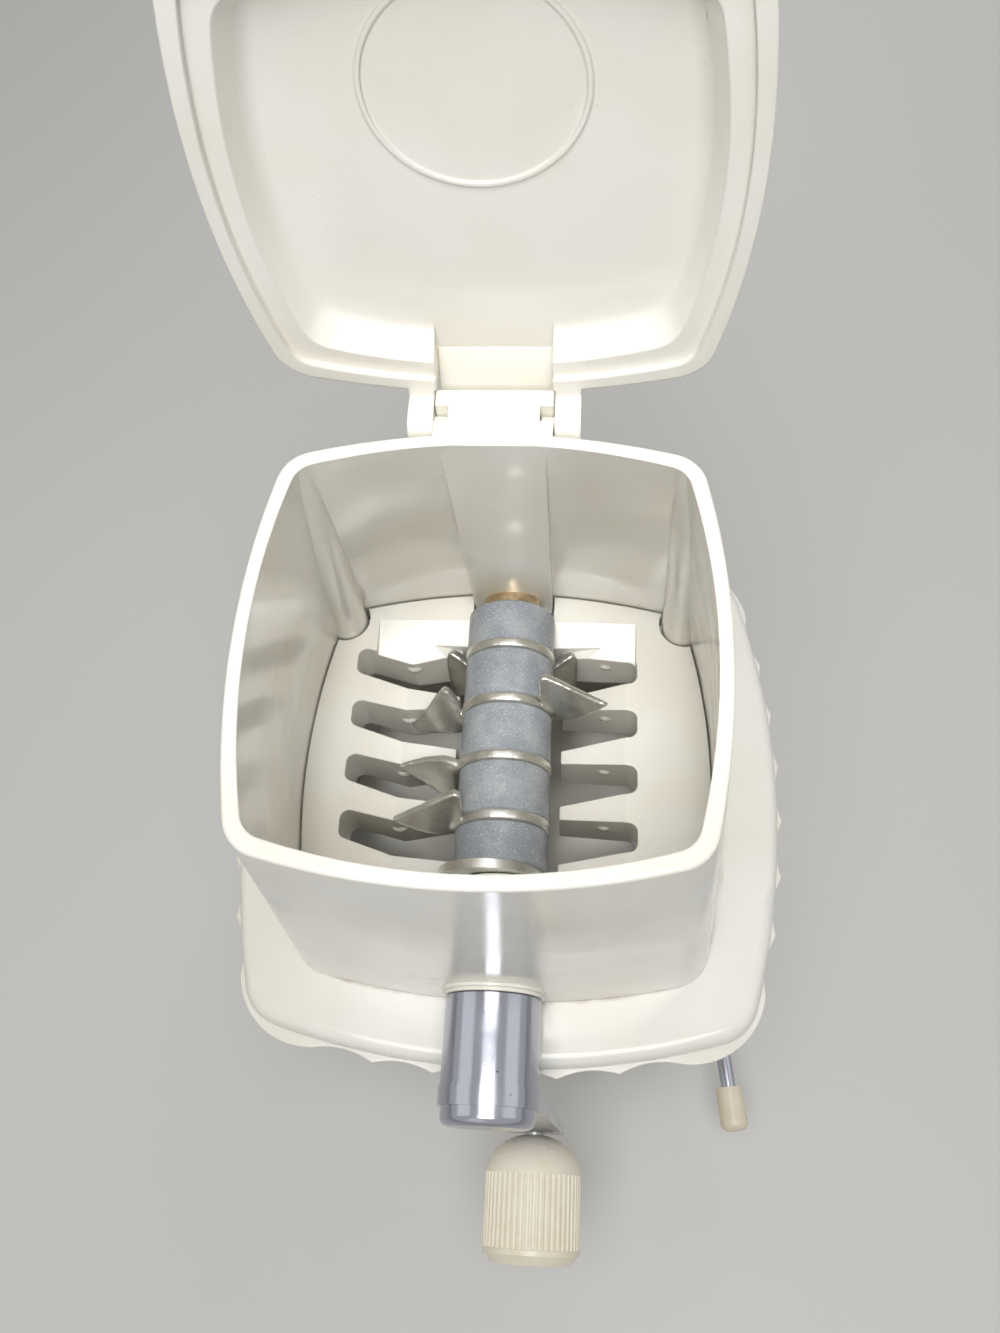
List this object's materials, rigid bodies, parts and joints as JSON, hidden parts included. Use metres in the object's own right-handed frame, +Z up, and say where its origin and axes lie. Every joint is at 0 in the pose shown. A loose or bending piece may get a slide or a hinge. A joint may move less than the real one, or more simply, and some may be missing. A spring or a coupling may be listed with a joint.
{
  "type": "hand cranked ice crusher",
  "caption": "Counter-top ice crusher: hinged-lid hopper with a toothed comb and claw rotor, side-fluted ice container, cranked from the front, on a vacuum base with a clamp lever.",
  "frame": {"origin": "on the surface it stands on, under the middle of the ice container", "axes": "+Z up, +X to the right seen from the crank, +Y back; the crank faces -Y"},
  "size_m": [0.1602, 0.2097, 0.3394],
  "materials": {
    "white_plastic": "glossy off-white moulding",
    "cream_plastic": "yellowed cream moulding",
    "grey_plastic": "satin blue-grey, speckled",
    "steel": "satin stamped steel",
    "chrome": "bright plating",
    "bronze": "sintered bronze, dull",
    "zinc": "zinc plated",
    "rubber": "matt black"
  },
  "bodies": {
    "container_and_base": {"ice_container": "white_plastic", "base_housing": "white_plastic", "base_plate": "white_plastic", "base_screws": "zinc", "rubber_feet": "rubber"},
    "vacuum_lever": {"lever_rod": "chrome", "lever_tip": "cream_plastic", "lever_cam": "white_plastic", "lever_clip": "zinc"},
    "suction": {"suction_stem": "white_plastic", "suction_cup": "rubber"},
    "hopper_head": {"hopper_housing": "white_plastic", "comb_grate": "white_plastic", "comb_screws": "zinc", "rear_bush": "bronze", "front_bush": "cream_plastic"},
    "hopper_lid": {"lid": "white_plastic"},
    "rotor_and_crank": {"rotor_shaft": "steel", "spacer_1": "grey_plastic", "spacer_2": "grey_plastic", "spacer_3": "grey_plastic", "spacer_4": "grey_plastic", "spacer_5": "grey_plastic", "blade_1": "steel", "blade_2": "steel", "blade_3": "steel", "blade_4": "steel", "thrust_washer": "grey_plastic", "crank_hub": "grey_plastic", "crank_barrel": "chrome", "crank_arm": "chrome", "crank_cap": "chrome", "knob_spindle": "zinc"},
    "crank_knob": {"knob": "cream_plastic", "knob_end_plug": "cream_plastic"}
  },
  "joints": [
    {"name": "vacuum_lever", "type": "hinge", "parent": "container_and_base", "child": "vacuum_lever", "pos_m": [0, -0.018, 0.025], "axis": [-1, 0, 0], "range_deg": [0, 38]},
    {"name": "suction_lift", "type": "slide", "parent": "container_and_base", "child": "suction", "axis": [0, 0, 1], "range_m": [-0.00246, 0], "deforming": ["suction_cup"]},
    {"name": "head_lift", "type": "slide", "parent": "container_and_base", "child": "hopper_head", "axis": [0, 0, 1], "range_m": [0, 0.06]},
    {"name": "lid_hinge", "type": "hinge", "parent": "hopper_head", "child": "hopper_lid", "pos_m": [0, 0.0476, 0.23145], "axis": [1, 0, 0], "range_deg": [0, 90.5]},
    {"name": "crank_turn", "type": "hinge", "parent": "hopper_head", "child": "rotor_and_crank", "pos_m": [0, 0, 0.1405], "axis": [0, 1, 0], "continuous": true},
    {"name": "knob_spin", "type": "hinge", "parent": "rotor_and_crank", "child": "crank_knob", "pos_m": [0.00961, -0.11, 0.06551], "axis": [0, 1, 0], "continuous": true}
  ],
  "couplings": [
    {"joint": "suction_lift", "follows": "vacuum_lever", "m_per_rad": -0.003713}
  ]
}
